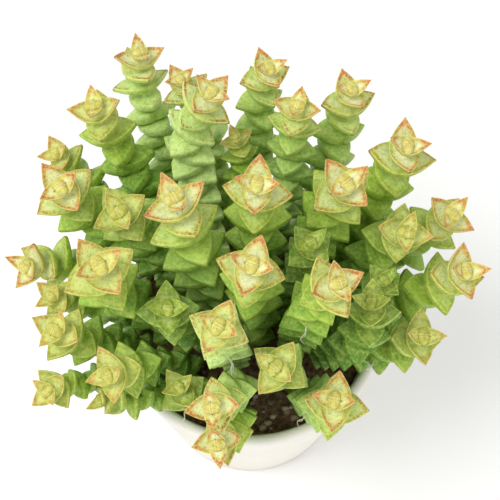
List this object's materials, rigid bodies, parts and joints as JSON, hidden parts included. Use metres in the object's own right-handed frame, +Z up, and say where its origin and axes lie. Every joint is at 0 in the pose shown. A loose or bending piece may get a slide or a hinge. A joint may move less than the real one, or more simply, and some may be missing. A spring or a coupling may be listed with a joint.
{
  "type": "potted tom thumb crassula",
  "caption": "Potted tom thumb crassula: a crowd of leafy stems stacked with thick triangular leaves, growing in a small plain round pot.",
  "frame": {"origin": "centre of the pot's flat underside", "axes": "+Z up out of the pot, -Y towards the viewer of the picture, +X to the viewer's right"},
  "size_m": [0.1171, 0.1046, 0.1137],
  "materials": {
    "fired_clay": "matte",
    "potting_mix": "matte",
    "succulent_leaf": "satin"
  },
  "bodies": {
    "root": {"pot": "fired_clay", "soil": "potting_mix", "stem_01": "succulent_leaf", "stem_02": "succulent_leaf", "stem_03": "succulent_leaf", "stem_04": "succulent_leaf", "stem_05": "succulent_leaf", "stem_06": "succulent_leaf", "stem_07": "succulent_leaf", "stem_08": "succulent_leaf", "stem_09": "succulent_leaf", "stem_10": "succulent_leaf", "stem_11": "succulent_leaf", "stem_12": "succulent_leaf", "stem_13": "succulent_leaf", "stem_14": "succulent_leaf", "stem_15": "succulent_leaf", "stem_16": "succulent_leaf", "stem_17": "succulent_leaf", "stem_18": "succulent_leaf", "stem_19": "succulent_leaf", "stem_20": "succulent_leaf", "stem_21": "succulent_leaf", "stem_22": "succulent_leaf", "stem_23": "succulent_leaf", "stem_24": "succulent_leaf", "stem_25": "succulent_leaf", "stem_26": "succulent_leaf", "stem_27": "succulent_leaf", "stem_28": "succulent_leaf", "stem_29": "succulent_leaf", "stem_30": "succulent_leaf", "stem_31": "succulent_leaf", "stem_32": "succulent_leaf", "stem_33": "succulent_leaf", "stem_34": "succulent_leaf", "stem_35": "succulent_leaf", "stem_36": "succulent_leaf", "stem_37": "succulent_leaf", "stem_38": "succulent_leaf"}
  },
  "joints": []
}
